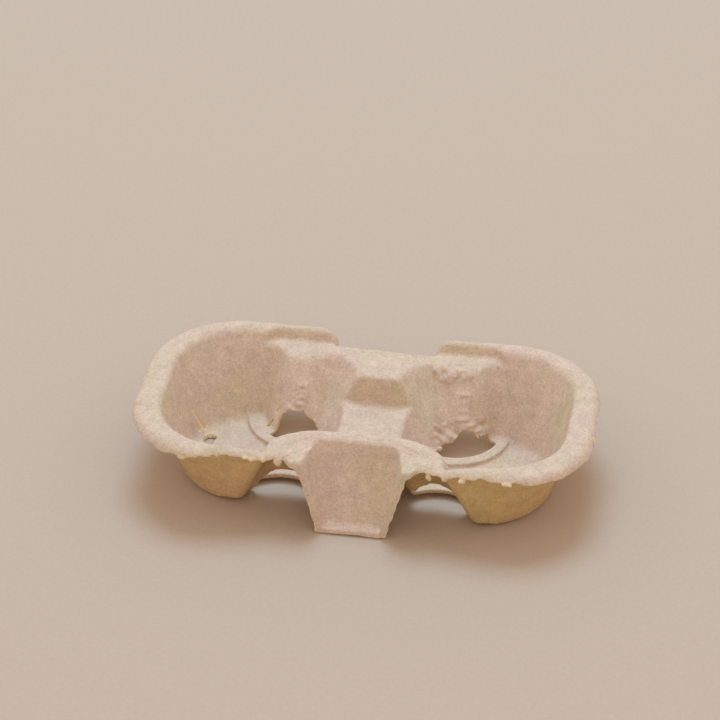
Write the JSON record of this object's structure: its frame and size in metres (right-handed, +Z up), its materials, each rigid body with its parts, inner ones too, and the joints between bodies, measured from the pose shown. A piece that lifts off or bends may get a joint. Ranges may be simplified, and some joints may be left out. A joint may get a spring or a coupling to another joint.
{
  "type": "cup carrier",
  "caption": "One-piece moulded pulp tray with round cup wells, gripping fingers, a flat back shelf and a sloping front panel.",
  "frame": {"origin": "bottom centre of the part's box, on the surface that the feet stand on", "axes": "+X along the wells, +Y towards the flat back shelf, +Z up"},
  "size_m": [0.217, 0.115, 0.0415],
  "materials": {
    "moulded_pulp": "matte fibrous pulp"
  },
  "bodies": {
    "root": {"carrier_tray": "moulded_pulp"}
  },
  "joints": []
}
